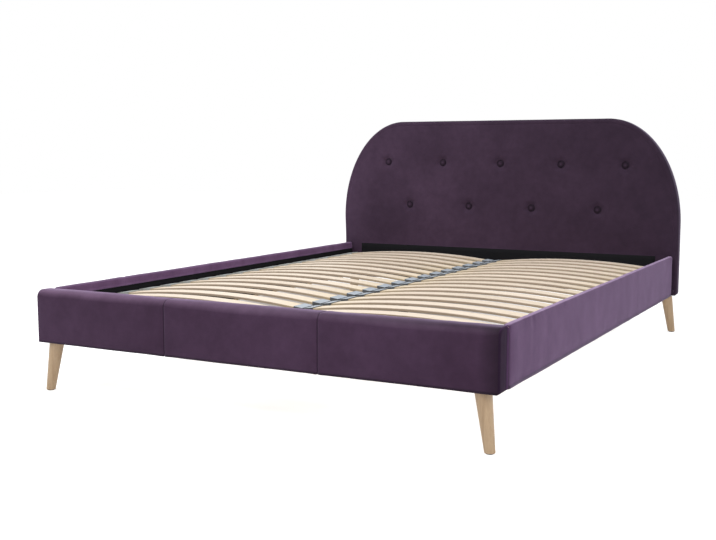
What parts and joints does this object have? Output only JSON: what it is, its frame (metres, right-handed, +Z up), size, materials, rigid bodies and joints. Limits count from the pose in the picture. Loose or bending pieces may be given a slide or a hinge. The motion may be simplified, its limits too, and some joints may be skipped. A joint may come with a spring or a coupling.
{
  "type": "upholstered bed",
  "caption": "Upholstered double bed with a rounded button-tufted headboard, padded rails, a sprung slatted base and splayed wooden legs.",
  "frame": {"origin": "on the floor, under the middle of the bed's outline", "axes": "+X across the bed to the sleeper's left side, +Y from the foot to the headboard, +Z up"},
  "size_m": [1.652, 2.171, 0.936],
  "materials": {
    "plum_velvet": "dark plum velvet with a lavender sheen",
    "button_velvet": "the same velvet, drawn over the buttons",
    "padding": "cream foam padding",
    "black_lining": "matt black non-woven cloth",
    "frame_board": "raw board",
    "softwood": "planed softwood",
    "slat_wood": "pale varnished bentwood",
    "leg_wood": "satin lacquered wood",
    "zinc_steel": "zinc plated",
    "black_steel": "black powder coat",
    "pale_plastic": "pale grey, matt",
    "grey_plastic": "blue-grey, matt",
    "black_plastic": "black, matt"
  },
  "bodies": {
    "frame": {"headboard_cover": "plum_velvet", "footboard_cover": "plum_velvet", "left_rail_cover": "plum_velvet", "right_rail_cover": "plum_velvet", "tuft_buttons": "button_velvet", "headboard_foam": "padding", "footboard_foam": "padding", "left_rail_foam": "padding", "right_rail_foam": "padding", "headboard_back_lining": "black_lining", "headboard_lining_band": "black_lining", "footboard_lining": "black_lining", "left_rail_lining": "black_lining", "right_rail_lining": "black_lining", "headboard_board": "frame_board", "footboard_board": "frame_board", "left_rail_board": "frame_board", "right_rail_board": "frame_board", "centre_beam": "softwood", "left_slat_ledge": "softwood", "right_slat_ledge": "softwood", "corner_brackets": "zinc_steel", "bracket_bolts": "zinc_steel", "front_beam_hanger": "zinc_steel", "rear_beam_hanger": "zinc_steel", "hanger_screws": "zinc_steel", "centre_leg_screws": "zinc_steel", "leg_plates": "zinc_steel", "leg_bolts": "zinc_steel", "leg_plate_screws": "zinc_steel", "centre_leg_tube": "black_steel", "left_slat_holders": "pale_plastic", "right_slat_holders": "pale_plastic", "centre_slat_holders": "grey_plastic", "centre_leg_insert": "black_plastic", "leg_glides": "black_plastic", "front_left_leg": "leg_wood", "front_right_leg": "leg_wood", "rear_left_leg": "leg_wood", "rear_right_leg": "leg_wood", "slat_pair_01": "slat_wood", "slat_pair_02": "slat_wood", "slat_pair_03": "slat_wood", "slat_pair_04": "slat_wood", "slat_pair_05": "slat_wood", "slat_pair_06": "slat_wood", "slat_pair_07": "slat_wood", "slat_pair_08": "slat_wood", "slat_pair_09": "slat_wood", "slat_pair_10": "slat_wood", "slat_pair_11": "slat_wood", "slat_pair_12": "slat_wood", "slat_pair_13": "slat_wood", "slat_pair_14": "slat_wood", "slat_pair_15": "slat_wood", "slat_pair_16": "slat_wood", "slat_pair_17": "slat_wood"},
    "levelling_foot": {"levelling_foot_stud": "zinc_steel", "levelling_foot_pad": "black_plastic"}
  },
  "joints": [
    {"name": "levelling_foot_slide", "type": "slide", "parent": "frame", "child": "levelling_foot", "axis": [0, 0, 1], "range_m": [-0.012, 0.012]}
  ]
}
